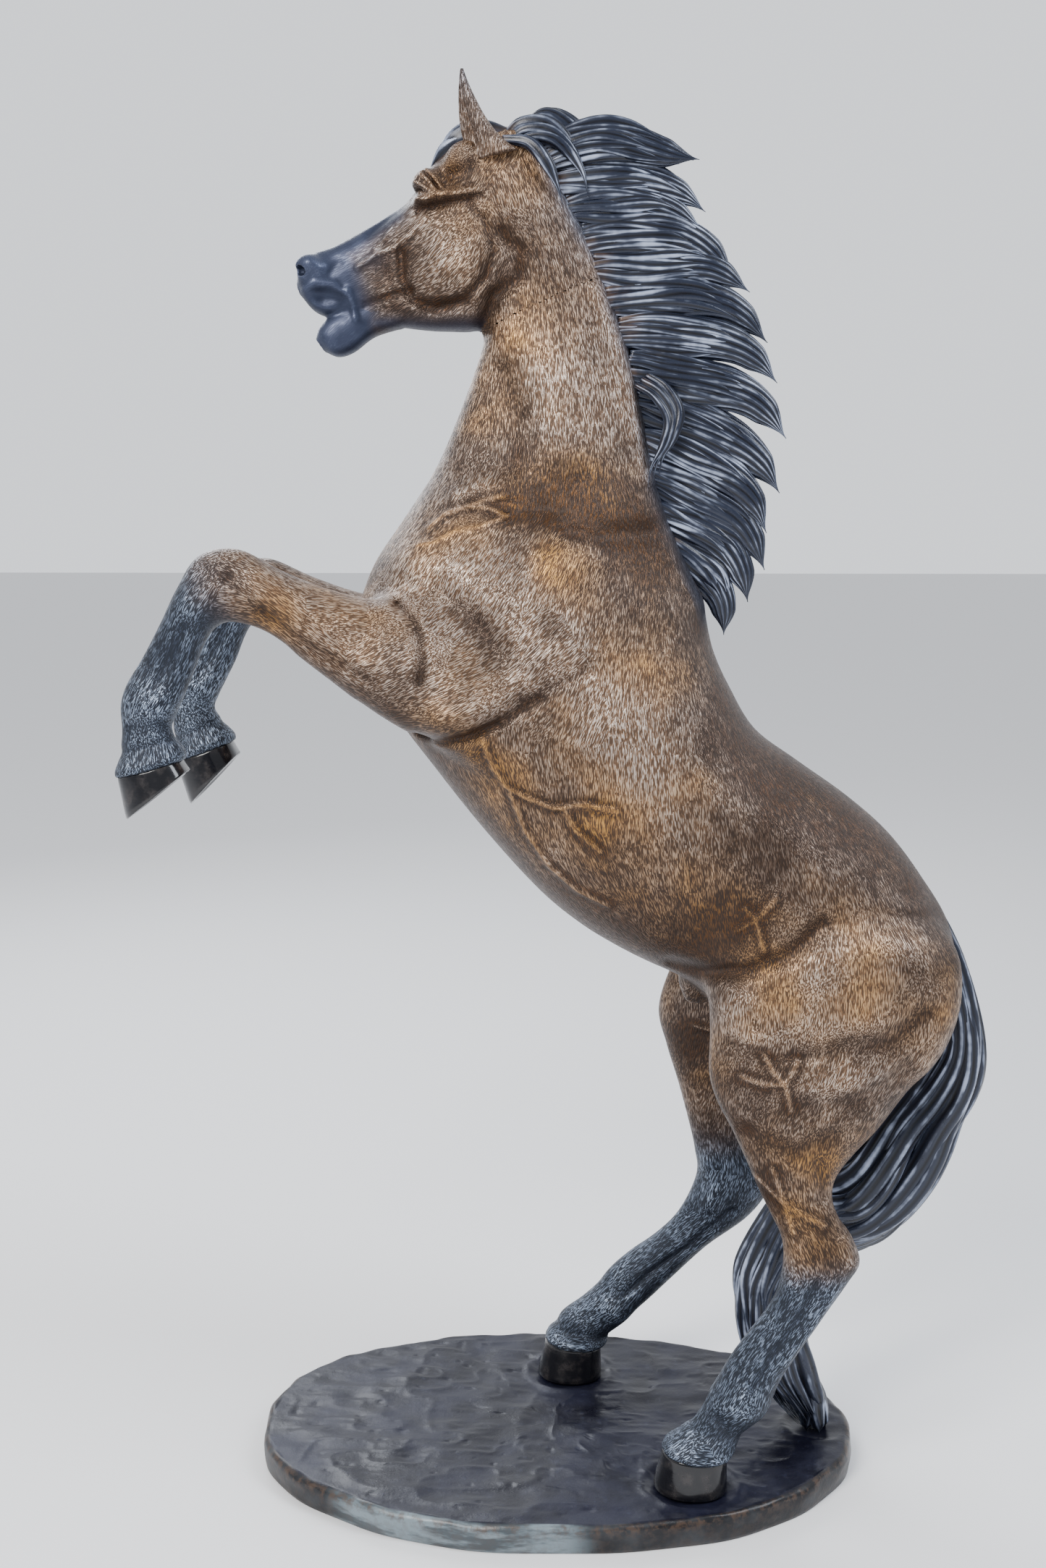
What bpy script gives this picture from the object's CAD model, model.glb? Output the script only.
from math import cos, pi, radians, sin

import bpy
import numpy as np
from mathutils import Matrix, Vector, kdtree


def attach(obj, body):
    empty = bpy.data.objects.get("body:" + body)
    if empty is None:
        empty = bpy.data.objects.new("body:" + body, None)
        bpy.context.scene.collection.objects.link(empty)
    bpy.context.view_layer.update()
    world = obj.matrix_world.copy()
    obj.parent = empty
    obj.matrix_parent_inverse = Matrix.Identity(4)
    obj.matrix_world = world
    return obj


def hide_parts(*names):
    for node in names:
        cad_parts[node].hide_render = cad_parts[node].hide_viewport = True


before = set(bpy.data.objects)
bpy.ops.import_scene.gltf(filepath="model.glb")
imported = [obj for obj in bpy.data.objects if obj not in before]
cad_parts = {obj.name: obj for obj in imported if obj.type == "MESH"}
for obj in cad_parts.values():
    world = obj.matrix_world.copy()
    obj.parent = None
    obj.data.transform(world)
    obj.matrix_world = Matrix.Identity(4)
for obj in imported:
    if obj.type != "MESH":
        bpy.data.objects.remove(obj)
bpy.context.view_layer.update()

# A rearing bronze stallion. The body is sculpted as one distance field on a regular grid, meshed, and shared
# out between the castings at their weld seams. Hair, hooves, ears and base are built from swept rings.
# Tables are in millimetres in the frame of the CAD model; meshes are made in metres.

SEED = 41
BODY_STEP = 4.5         # grid spacing of the body
HEAD_STEP = 2.2         # finer grid of the head
BODY_BOX = (-740, -264, 96), (712, 252, 2330)
HEAD_BOX = (-446, -96, 1946), (104, 96, 2342)
MARGIN = 70.0           # how far a body's field is worked out beyond its own box
BALL_MARGIN = 20        # and a ball's
HEAD_SEAM = 3           # station of the trunk at which the head's casting meets the neck's
SEAM_LAP = 0.06         # stations by which the head's patches of coat are laid out past its seam
PATCH = 62.0            # size of a patch of coat with one lie of the hair
HAIR_LONG, HAIR_WIDE = 12.0, 1.5    # scale of the chased strokes along and across the hair

# Stations of each body: front x, front z, back x, back z, y of the middle, half width in y.
TRUNK = [
    (-128, 2285, -40, 2318, 0, 34), (-132, 2220, -2, 2245, 0, 50), (-130, 2120, 45, 2165, 0, 58),
    (-124, 1998, 76, 2086, 0, 62), (-130, 1960, 117, 1975, 0, 70), (-168, 1858, 143, 1865, 0, 84),
    (-208, 1770, 162, 1768, 0, 104), (-262, 1688, 190, 1684, 0, 136), (-318, 1600, 226, 1600, 0, 168),
    (-336, 1500, 246, 1560, 0, 186), (-290, 1380, 254, 1515, 0, 198), (-205, 1262, 266, 1468, 0, 206),
    (-120, 1155, 292, 1412, 0, 213), (-30, 1056, 338, 1337, 0, 216), (40, 998, 412, 1282, 0, 212),
    (103, 959, 500, 1220, 0, 205), (160, 930, 572, 1157, 0, 200), (215, 905, 630, 1082, 0, 194),
    (252, 880, 678, 1002, 0, 180), (290, 850, 692, 915, 0, 150), (360, 815, 640, 830, 0, 90),
]
HEAD = [
    (-60, 2322, -36, 2230, 0, 30), (-122, 2318, -70, 2140, 0, 52), (-176, 2290, -96, 2046, 0, 66),
    (-216, 2250, -130, 2003, 0, 68), (-246, 2208, -185, 1999, 0, 60), (-285, 2181, -240, 2003, 0, 50),
    (-328, 2157, -292, 2012, 0, 41), (-372, 2135, -338, 2022, 0, 37), (-410, 2122, -378, 2022, 0, 39),
    (-429, 2100, -405, 2032, 0, 31), (-434, 2078, -428, 2058, 0, 12),
]
LOWER_LIP = [
    (-252, 2046, -262, 2004, 0, 32), (-324, 2044, -306, 1990, 0, 31), (-368, 2032, -340, 1966, 0, 32),
    (-396, 2008, -366, 1958, 0, 29), (-404, 1988, -388, 1966, 0, 14),
]
LEFT_FORELEG = [
    (-60, 1540, 60, 1300, -96, 52), (-160, 1552, -70, 1276, -122, 74), (-250, 1552, -190, 1322, -140, 76),
    (-350, 1572, -283, 1372, -150, 64), (-440, 1606, -384, 1449, -157, 52),
    (-512, 1644, -462, 1508, -160, 45), (-575, 1634, -520, 1527, -160, 45),
    (-611, 1584, -552, 1518, -160, 43), (-641, 1526, -572, 1490, -160, 37),
    (-672, 1470, -590, 1446, -160, 34), (-699, 1426, -608, 1406, -160, 39),
    (-708, 1386, -622, 1380, -160, 38), (-711, 1340, -630, 1352, -160, 36),
    (-719, 1298, -616, 1330, -160, 43), (-723, 1272, -610, 1303, -160, 50),
]
RIGHT_FORELEG = [
    (-60, 1540, 60, 1300, 96, 52), (-160, 1546, -70, 1270, 122, 74), (-250, 1540, -190, 1312, 140, 76),
    (-352, 1556, -286, 1358, 150, 64), (-444, 1586, -390, 1432, 155, 52), (-520, 1620, -470, 1486, 156, 45),
    (-584, 1610, -528, 1506, 156, 45), (-614, 1566, -554, 1502, 155, 43), (-638, 1514, -569, 1478, 153, 37),
    (-666, 1462, -584, 1440, 151, 34), (-692, 1421, -603, 1403, 150, 39), (-701, 1380, -618, 1374, 150, 38),
    (-701, 1334, -626, 1348, 150, 36), (-702, 1284, -604, 1320, 150, 43), (-701, 1252, -590, 1292, 150, 50),
]
LEFT_HINDLEG = [
    (360, 1080, 610, 1040, -86, 60), (286, 985, 672, 975, -112, 92), (264, 912, 678, 895, -126, 96),
    (262, 836, 652, 818, -138, 90), (260, 774, 592, 748, -150, 78), (271, 732, 545, 686, -160, 67),
    (296, 684, 502, 640, -168, 57), (322, 630, 474, 604, -176, 49), (345, 578, 467, 568, -182, 43),
    (366, 536, 478, 534, -186, 40), (384, 500, 501, 497, -189, 42), (389, 458, 513, 458, -191, 44),
    (384, 420, 496, 424, -193, 41), (364, 374, 456, 362, -195, 35), (334, 332, 418, 302, -197, 33),
    (300, 282, 386, 246, -199, 36), (272, 226, 366, 198, -200, 43), (250, 182, 336, 162, -200, 40),
    (216, 146, 320, 140, -200, 47), (186, 118, 304, 112, -200, 55),
]
RIGHT_HINDLEG = [
    (340, 1060, 600, 1040, 86, 60), (262, 985, 668, 975, 112, 92), (218, 900, 660, 880, 126, 94),
    (188, 800, 596, 786, 142, 86), (204, 722, 520, 700, 155, 70), (226, 650, 452, 632, 165, 57),
    (246, 576, 408, 572, 172, 47), (260, 518, 394, 522, 177, 42), (268, 470, 402, 476, 180, 43),
    (254, 420, 404, 432, 182, 43), (226, 370, 366, 376, 182, 38), (186, 330, 290, 316, 182, 34),
    (140, 296, 224, 250, 182, 33), (100, 258, 180, 206, 181, 37), (66, 212, 142, 172, 180, 40),
    (10, 170, 112, 140, 180, 43), (-22, 122, 92, 112, 180, 54),
]
SHEATH = [
    (236, 950, 350, 960, 0, 40), (216, 898, 318, 886, 0, 34), (220, 872, 292, 862, 0, 24),
    (229, 852, 262, 849, 0, 9),
]
TAIL = [
    (600, 1010, 650, 1040, 0, 26), (648, 920, 706, 936, 0, 34), (668, 800, 744, 806, 5, 43),
    (628, 712, 750, 712, 9, 50), (566, 630, 722, 630, 14, 54), (520, 560, 684, 520, 16, 56),
    (486, 536, 618, 418, 18, 56), (452, 530, 545, 384, 18, 54), (412, 500, 464, 372, 16, 50),
    (342, 370, 444, 314, 10, 43), (335, 300, 438, 272, 4, 40), (340, 226, 448, 226, 0, 40),
    (358, 162, 468, 162, -3, 42), (388, 112, 496, 108, -5, 40), (418, 76, 504, 76, -5, 32),
    (446, 50, 498, 50, -5, 20),
]
TAIL_SEAM, TAIL_DETAIL = 7, 7        # station of the seam, steps per station
EARS = [
    (-140, 2258, -64, 2278, 42, 23), (-152, 2288, -90, 2298, 46, 22), (-157, 2318, -111, 2325, 50, 18),
    (-158, 2348, -128, 2354, 53, 13), (-158, 2376, -142, 2380, 55, 8), (-157, 2399, -152, 2400, 56, 3),
]
# Hooves: the section at the hair line and the one at the ground edge.
HOOVES = {
    "left_fore_hoof": (LEFT_FORELEG[-1], (-708, 1200, -600, 1286, -160, 56)),
    "right_fore_hoof": (RIGHT_FORELEG[-1], (-674, 1172, -580, 1270, 150, 56)),
    "left_hind_hoof": (LEFT_HINDLEG[-1], (172, 50, 304, 50, -200, 60)),
    "right_hind_hoof": (RIGHT_HINDLEG[-1], (-36, 50, 92, 50, 180, 59)),
}
# Locks of the mane: root, bend and tip (x, z), half depth. Tips above FLICK_ABOVE turn up, the others down.
FLICK_ABOVE = 2200
MANE = {
    "upper_mane": [
        ((-58, 2288), (-14, 2356), (92, 2268), 34), ((-44, 2264), (90, 2326), (228, 2267), 40),
        ((-22, 2226), (112, 2262), (240, 2187), 36), ((4, 2184), (120, 2216), (234, 2160), 34),
        ((32, 2142), (162, 2186), (288, 2088), 40)],
    "middle_mane": [
        ((54, 2096), (172, 2116), (315, 2060), 38), ((74, 2046), (202, 2090), (346, 1979), 42),
        ((94, 1994), (222, 2020), (362, 1913), 40), ((110, 1940), (242, 1944), (379, 1823), 44),
        ((122, 1884), (247, 1876), (371, 1734), 44)],
    "lower_mane": [
        ((124, 1826), (257, 1812), (350, 1668), 42), ((134, 1768), (264, 1750), (349, 1606), 42),
        ((148, 1708), (264, 1690), (322, 1552), 40), ((170, 1648), (264, 1630), (283, 1496), 36)],
}
FORELOCK = [
    ((-84, 2304), (-168, 2330), (-208, 2246), 17), ((-92, 2296), (-186, 2318), (-218, 2230), 14),
    ((-96, 2280), (-160, 2304), (-200, 2238), 14),
]

# Locks beside the neck, by casting: points (x, z, y), step from one lock to the next, radii, flatness, rings.
# Those of the upper mane lie at the poll, those of the middle mane are the curl half way down.
SIDE_LOCKS = {
    "upper_mane": [
        ([(-88, 2300, 22), (-60, 2322, 30), (-14, 2318, 30), (26, 2276, 26), (40, 2226, 22)],
         (5, -13, 4), (10.5, 9.5, 8.5), 0.7, 44),
        ([(-90, 2296, 40), (-48, 2288, 50), (-20, 2258, 54), (-2, 2222, 50), (8, 2190, 40)],
         (0, 0, 0), (9,), 0.7, 44)],
    "middle_mane": [
        ([(146, 1925, 34), (176, 1905, 44), (198, 1868, 50), (190, 1826, 54), (172, 1790, 56),
          (166, 1752, 54)], (-9, -8, 3), (7.5, 7, 6), 0.75, 50)],
}

# Raised and sunk lines of the modelling: points (x, z), radius, height. Both sides of the horse unless named.
BOTH_SIDES = [
    # chest, shoulder and elbow
    ([(-257, 1556), (-231, 1533), (-215, 1506), (-210, 1468), (-216, 1437)], 8, -9),
    ([(-227, 1341), (-188, 1336), (-142, 1344), (-96, 1365)], 8.5, -5),
    ([(-227, 1341), (-188, 1336), (-142, 1344), (-87, 1369), (-41, 1396), (-26, 1408)], 9, -4.5),
    ([(-227, 1341), (-188, 1336), (-142, 1344), (-87, 1369), (-41, 1396), (-3, 1427), (52, 1454)], 10, -3),
    ([(-185, 1376), (-120, 1394), (-60, 1432)], 30, 18),
    ([(-165, 1727), (-127, 1746), (-81, 1742), (-50, 1719)], 16, 6),
    ([(-50, 1719), (19, 1680), (88, 1664), (149, 1667)], 20, -7),
    ([(-4, 1690), (34, 1684), (60, 1676)], 12, 6), ([(-10, 1630), (40, 1634)], 34, 9),
    ([(-187, 1580), (-126, 1520), (-80, 1461), (-57, 1407)], 20, -6), ([(-150, 1600), (-60, 1560)], 50, 12),
    ([(-190, 1480), (-150, 1440)], 44, 12), ([(-40, 1480), (20, 1500)], 48, 7),
    ([(-230, 1620), (-250, 1560)], 46, 9),
    # neck
    ([(-120, 1998), (-105, 2050), (-62, 2078), (-62, 2120), (-93, 2150)], 12, -8),
    ([(-90, 1930), (-60, 1850), (-70, 1780)], 16, -6), ([(-60, 1980), (-10, 1900), (10, 1800)], 40, 9),
    ([(60, 2060), (100, 1960), (128, 1860), (150, 1760)], 16, 6),
    # belly, ribs and flank
    ([(197, 950), (255, 941), (325, 958), (388, 992), (438, 1038)], 16, -11),
    ([(240, 1010), (300, 1060), (350, 1120)], 60, -8), ([(420, 960), (500, 1000), (560, 1000)], 40, 10),
    ([(300, 900), (320, 850)], 36, 9), ([(330, 874), (332, 870)], 9, -7),
    ([(294, 838), (358, 822), (428, 830)], 14, -6), ([(456, 839), (534, 845), (608, 894)], 22, -7),
    ([(392, 742), (486, 748), (574, 800)], 20, -5), ([(440, 880), (520, 900)], 40, 8),
    ([(430, 775), (520, 790)], 34, 7), ([(600, 1000), (640, 900), (610, 800)], 30, 6),
    ([(369, 1258), (472, 1182), (536, 1131)], 34, -5),
]
LEFT_SIDE = [
    ([(320, 690), (394, 664), (457, 690)], 14, -5), ([(440, 640), (446, 580)], 12, -4),
    ([(396, 530), (410, 470), (400, 430)], 16, 6), ([(484, 500), (500, 465)], 14, 6),
    ([(440, 440), (412, 372), (366, 300), (338, 246)], 7, -6), ([(470, 420), (436, 352), (392, 286)], 9, 4),
    ([(318, 230), (322, 204)], 18, 5), ([(280, 190), (292, 168)], 10, -4),
    ([(228, 122), (270, 118), (296, 116)], 6, 3), ([(-330, 1540), (-400, 1560), (-470, 1590)], 30, 6),
    ([(-300, 1440), (-390, 1490), (-470, 1545)], 10, -6), ([(-340, 1400), (-420, 1466)], 18, 5),
    ([(-545, 1580), (-586, 1550)], 18, 5), ([(-520, 1600), (-545, 1570)], 9, -4),
    ([(-596, 1520), (-628, 1460), (-655, 1410)], 7, -6), ([(-652, 1400), (-662, 1392)], 16, 5),
    ([(-640, 1360), (-690, 1362)], 8, -3), ([(-720, 1282), (-612, 1312)], 9, 4),
    ([(-716, 1312), (-620, 1336)], 9, -4), ([(-640, 1388), (-700, 1392)], 26, 4),
    ([(240, 160), (326, 152)], 12, -4), ([(200, 124), (308, 120)], 9, 4), ([(286, 214), (352, 190)], 22, 3),
]
RIGHT_SIDE = [
    ([(366, 560), (376, 500)], 12, -6), ([(282, 500), (296, 450), (290, 410)], 16, 6),
    ([(388, 468), (398, 440)], 14, 5), ([(330, 400), (250, 322), (180, 268), (130, 224)], 7, -6),
    ([(104, 196), (112, 180)], 18, 5), ([(-330, 1520), (-400, 1540), (-470, 1566)], 30, 6),
    ([(-300, 1430), (-390, 1470), (-470, 1522)], 10, -6), ([(-545, 1560), (-586, 1530)], 18, 5),
    ([(-592, 1510), (-622, 1450), (-648, 1404)], 7, -6), ([(-646, 1394), (-656, 1388)], 16, 5),
    ([(-698, 1264), (-594, 1302)], 9, 4), ([(-700, 1296), (-608, 1326)], 9, -4),
    ([(-10, 128), (98, 118)], 9, 4), ([(0, 150), (106, 132)], 12, -4), ([(70, 206), (134, 168)], 22, 3),
]
# Veins: points (x, z) and side, 0 for both.
VEINS = [
    ([(-210, 1678), (-183, 1701), (-145, 1712), (-114, 1723), (-87, 1728)], 0),
    ([(-228, 1650), (-194, 1656), (-163, 1673), (-125, 1680), (-79, 1697)], 0),
    ([(-144, 1712), (-110, 1710), (-80, 1697)], 0),
    ([(-118, 1340), (-100, 1290), (-81, 1261), (-49, 1245), (-2, 1229), (45, 1238), (99, 1228)], 0),
    ([(0, 1230), (15, 1228), (35, 1192), (73, 1160)], 0),
    ([(-74, 1250), (-49, 1183), (-10, 1124), (35, 1085), (87, 1062)], 0),
    ([(295, 1026), (328, 1046), (359, 1082)], 0), ([(309, 1066), (328, 1046), (335, 1020), (342, 994)], 0),
    ([(308, 784), (346, 775), (378, 778), (398, 816)], -1),
    ([(345, 824), (359, 798), (378, 778), (390, 735)], -1), ([(337, 609), (383, 569), (449, 535)], -1),
    ([(362, 630), (383, 569), (397, 521)], -1), ([(250, 780), (290, 772), (330, 776)], 1),
    ([(290, 800), (306, 776), (330, 730)], 1),
]
VEIN_RADIUS, VEIN_HIGH = 4.2, 4.6
FACE = [
    ([(-255, 2117), (-253, 2076), (-237, 2045), (-200, 2032), (-152, 2044), (-118, 2080), (-104, 2120),
      (-120, 2167), (-141, 2192)], 8, -6), ([(-178, 2118), (-180, 2112)], 52, 8),
    ([(-228, 2198), (-199, 2204), (-162, 2207), (-130, 2214)], 8, 6),
    ([(-327, 2099), (-297, 2117), (-265, 2127), (-238, 2148), (-214, 2170)], 6, 5),
    ([(-310, 2151), (-261, 2189), (-234, 2212)], 7, -4), ([(-290, 2090), (-270, 2070)], 18, -4),
    ([(-317, 2039), (-268, 2054), (-240, 2060)], 6, -4), ([(-290, 2056), (-258, 2068)], 10, 3),
    ([(-215, 2030), (-150, 2036)], 12, -5), ([(-173, 2236), (-140, 2250)], 14, -6),
    ([(-422, 2062), (-398, 2074), (-368, 2072), (-350, 2056)], 6, 4),
    ([(-345, 2062), (-338, 2040), (-334, 2018)], 6, 4), ([(-385, 2050), (-360, 2048)], 12, -5),
    ([(-404, 2106), (-392, 2098)], 13, 6), ([(-376, 2090), (-360, 2104)], 9, -3),
    ([(-222, 2240), (-209, 2228), (-197, 2212)], 3, 4), ([(-213, 2248), (-200, 2234), (-188, 2218)], 3, 4),
    ([(-217, 2243), (-204, 2230), (-192, 2214)], 2.5, -3),
    ([(-232, 2228), (-222, 2222), (-206, 2212), (-198, 2204)], 3, 4),
    ([(-228, 2200), (-214, 2196), (-200, 2200)], 3, 3),
    ([(-226, 2182), (-190, 2190), (-150, 2198), (-124, 2206)], 6, -4.5),
    ([(-300, 2124), (-282, 2140), (-270, 2160)], 4, 2), ([(-282, 2140), (-262, 2138)], 4, 2),
]
EYE, EYE_RADII = (-217, 46, 2208), (12, 11, 10)
# Balls added to each side of the head, or carved out of it: centre, radii, fillet, carved.
HEAD_BALLS = [
    ((-211, 40, 2226), (26, 25, 24), 12, False),    # brow
    ((-190, 50, 2205), (34, 22, 14), 12, False),    # cheekbone
    ((-412, 30, 2098), (20, 16, 20), 10, False),    # wing of the nostril
    ((-150, 46, 2262), (30, 20, 30), 14, False),    # temple
    ((-421, 36, 2094), (12, 14, 9), 4, True),       # nostril
    ((-219, 55, 2208), (16, 12, 9), 3, True),       # eye socket
    ((-390, 40, 2048), (29, 10, 16), 5, True),      # corner of the mouth
]
# Dark smooth places of the patina: points, radius, darkness. First on the head, then on the neck.
DARK_FACE = [
    ([(-268, 2184), (-330, 2142), (-400, 2110)], 25, 1.0), ([(-206, 2262), (-168, 2304)], 18, 0.6),
    ([(-300, 2010), (-200, 2002), (-130, 2004)], 16, 0.8), ([(-330, 2100), (-300, 2110)], 24, 0.5),
]
DARK_NECK = [
    ([(-26, 2288), (4, 2221), (34, 2165), (75, 2096), (93, 2039), (118, 1970), (136, 1912), (149, 1830),
      (162, 1748), (193, 1676), (224, 1592), (252, 1528)], 17, 0.85),
]
# Dimmer lines of the coat, in the same form.
DIM_LINES = [
    ([(262, 1490), (292, 1412), (338, 1337), (412, 1282), (500, 1220), (572, 1157), (630, 1082),
      (678, 1002)], 44, -0.3),
    ([(-205, 1262), (-120, 1155), (-30, 1056), (40, 998), (103, 959), (190, 940)], 40, -0.22),
    ([(-300, 1640), (-225, 1780), (-175, 1870)], 34, -0.12),
    ([(-60, 1716), (30, 1690), (130, 1664)], 34, -0.22),
]
# Lighter, more golden or darker places of the patina: x, z, radius, light, gold.
TONES = [
    (62, 1950, 60, 0.0, -0.8), (90, 1870, 66, 0.5, -1.1), (-14, 1919, 60, 0.0, -0.5),
    (-39, 2103, 50, -0.2, 0.5), (12, 1770, 66, -0.6, 0.5), (-77, 2190, 40, 0.3, 0.3),
    (137, 1671, 70, -0.9, 0.2), (38, 1707, 60, -0.7, 1.0), (-60, 1712, 46, -0.3, 0.9),
    (-11, 1640, 36, 0.7, 1.0), (-135, 1640, 60, 0.6, -0.4), (-161, 1547, 60, 0.4, -0.4),
    (150, 1590, 60, -0.5, 0.3), (-136, 1447, 50, 0.1, 0.2), (-111, 1290, 56, 0.5, 1.0),
    (0, 1320, 60, 0.3, 0.5), (90, 1400, 66, 1.5, -0.3), (141, 1284, 70, 1.5, -0.2),
    (193, 1190, 60, 0.4, 0.3), (66, 1180, 66, -0.1, 0.9), (118, 1090, 60, -0.1, 0.6),
    (291, 1360, 70, -0.5, -0.5), (375, 1262, 80, -0.8, -0.6), (219, 1104, 50, 0.0, 0.8),
    (-10, 1142, 50, 0.4, 0.0), (470, 1171, 70, -0.3, -0.5), (271, 1028, 50, -0.6, 0.5),
    (371, 1120, 56, 0.5, -0.1), (561, 1060, 60, -0.5, -0.4), (602, 978, 50, -0.7, -0.1),
    (502, 951, 56, 1.1, 0.9), (376, 905, 56, 1.5, 0.9), (570, 819, 56, 0.1, 0.1), (356, 667, 50, -0.2, 0.3),
    (434, 641, 46, 0.2, 0.9), (398, 558, 34, 0.5, 1.0), (452, 489, 40, -0.5, 0.2), (470, 800, 50, 0.6, 0.2),
    (-645, 1400, 60, 0.9, 0.0), (-316, 1482, 50, 1.2, 0.7), (-392, 1520, 50, 0.7, 0.3),
    (-367, 1440, 44, -0.2, 0.5), (-200, 1350, 50, -0.5, 0.5), (-190, 2122, 44, 0.0, -0.3),
    (-235, 2110, 30, -0.6, -0.3), (-260, 2200, 40, -0.3, -1.2), (-190, 2240, 40, -0.2, 0.6),
    (-270, 2022, 50, -0.2, -1.0), (-116, 2280, 40, 0.3, 0.1), (234, 737, 60, -0.8, 0.1),
]
# Stations between which each leg turns black, by number of the body.
BLACK_LEGS = {1: (4.9, 7.2), 2: (4.6, 6.8), 3: (10.2, 12.2), 4: (5.6, 7.6)}
# Lie of the hair on the trunk: x, z, direction (x, z).
LIE = [
    (-20, 2180, 0.3, -1.0), (60, 2000, 0.15, -1.0), (-90, 1950, 0.05, -1.0), (0, 1800, 0.0, -1.0),
    (150, 1750, 0.1, -1.0), (-250, 1620, -0.55, -1.0), (-60, 1640, -0.5, -1.0), (100, 1600, -0.2, -1.0),
    (-160, 1430, -1.0, -0.45), (-60, 1470, -0.9, -0.8), (150, 1450, -0.15, -1.0), (-80, 1280, 0.25, -1.0),
    (100, 1260, 0.0, -1.0), (260, 1340, 0.1, -1.0), (60, 1090, 0.4, -1.0), (300, 1050, 0.15, -1.0),
    (430, 1180, 0.25, -1.0), (600, 1000, 0.05, -1.0), (450, 900, -0.05, -1.0), (330, 860, 0.05, -1.0),
    (600, 820, -0.25, -1.0),
]


# ---- sections and fields ------------------------------------------------------------------------
def smooth_rows(rows, per_gap=6):
    """Curve through the rows: station numbers and the rows there."""
    rows = np.array(rows, float)
    padded = np.vstack([2 * rows[0] - rows[1], rows, 2 * rows[-1] - rows[-2]])
    at = np.linspace(0, len(rows) - 1, (len(rows) - 1) * per_gap + 1)
    first = np.minimum(at.astype(int), len(rows) - 2)
    t = (at - first)[:, None]
    a, b, c, d = (padded[first + n] for n in range(4))
    bent = (2 * a - 5 * b + 4 * c - d) * t ** 2 + (3 * b - a - 3 * c + d) * t ** 3
    return at, 0.5 * (2 * b + (c - a) * t + bent)


def arms(rows):
    """Middle and half depth of each row, as vectors in the xz plane."""
    return (rows[:, 0:2] + rows[:, 2:4]) / 2, (rows[:, 0:2] - rows[:, 2:4]) / 2


def section_map(rows, x, z):
    """Section under each point of the xz plane: station, offset, distance past an end, half depth, half width
    and y of the middle."""
    at, fine = smooth_rows(rows)
    centre, half = arms(fine)
    normal = np.c_[-half[:, 1], half[:, 0]] / np.hypot(half[:, 0], half[:, 1])[:, None]
    normal *= np.sign((normal * np.gradient(centre, axis=0)).sum(1))[:, None]
    x, z = np.broadcast_arrays(x, z)
    ahead = [(x - c[0]) * n[0] + (z - c[1]) * n[1] for c, n in zip(centre, normal)]
    best = np.full(x.shape, np.inf)
    found = np.zeros((6, *x.shape), np.float32)

    def offer(mask, low, high, over):
        """Takes the section between two rows wherever it is the nearest so far."""
        where = np.nonzero(mask)
        t = 0.0 if low == high else (ahead[low] / (ahead[low] - ahead[high] + 1e-9))[where][:, None]
        row = fine[low] * (1 - t) + fine[high] * t + np.zeros((len(where[0]), 1))
        mid, arm = arms(row)
        deep = np.hypot(arm[:, 0], arm[:, 1])
        off = ((x[where] - mid[:, 0]) * arm[:, 0] + (z[where] - mid[:, 1]) * arm[:, 1]) / deep
        past = over[where] if over is not None else np.zeros(len(deep))
        rank = np.hypot(off, past) / deep
        wins = rank < best[where]
        spot = tuple(w[wins] for w in where)
        best[spot] = rank[wins]
        station = at[low] * (1 - t) + at[high] * t + np.zeros((len(deep), 1))
        values = (station[:, 0], off, past, deep, row[:, 5], row[:, 4])
        for layer, value in enumerate(values):
            found[layer][spot] = value[wins]

    for i in range(len(fine) - 1):
        offer((ahead[i] >= 0) & (ahead[i + 1] < 0), i, i + 1, None)
    offer(ahead[0] < 0, 0, 0, -ahead[0])
    last = len(fine) - 1
    offer(ahead[last] >= 0, last, last, ahead[last])
    return found


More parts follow.
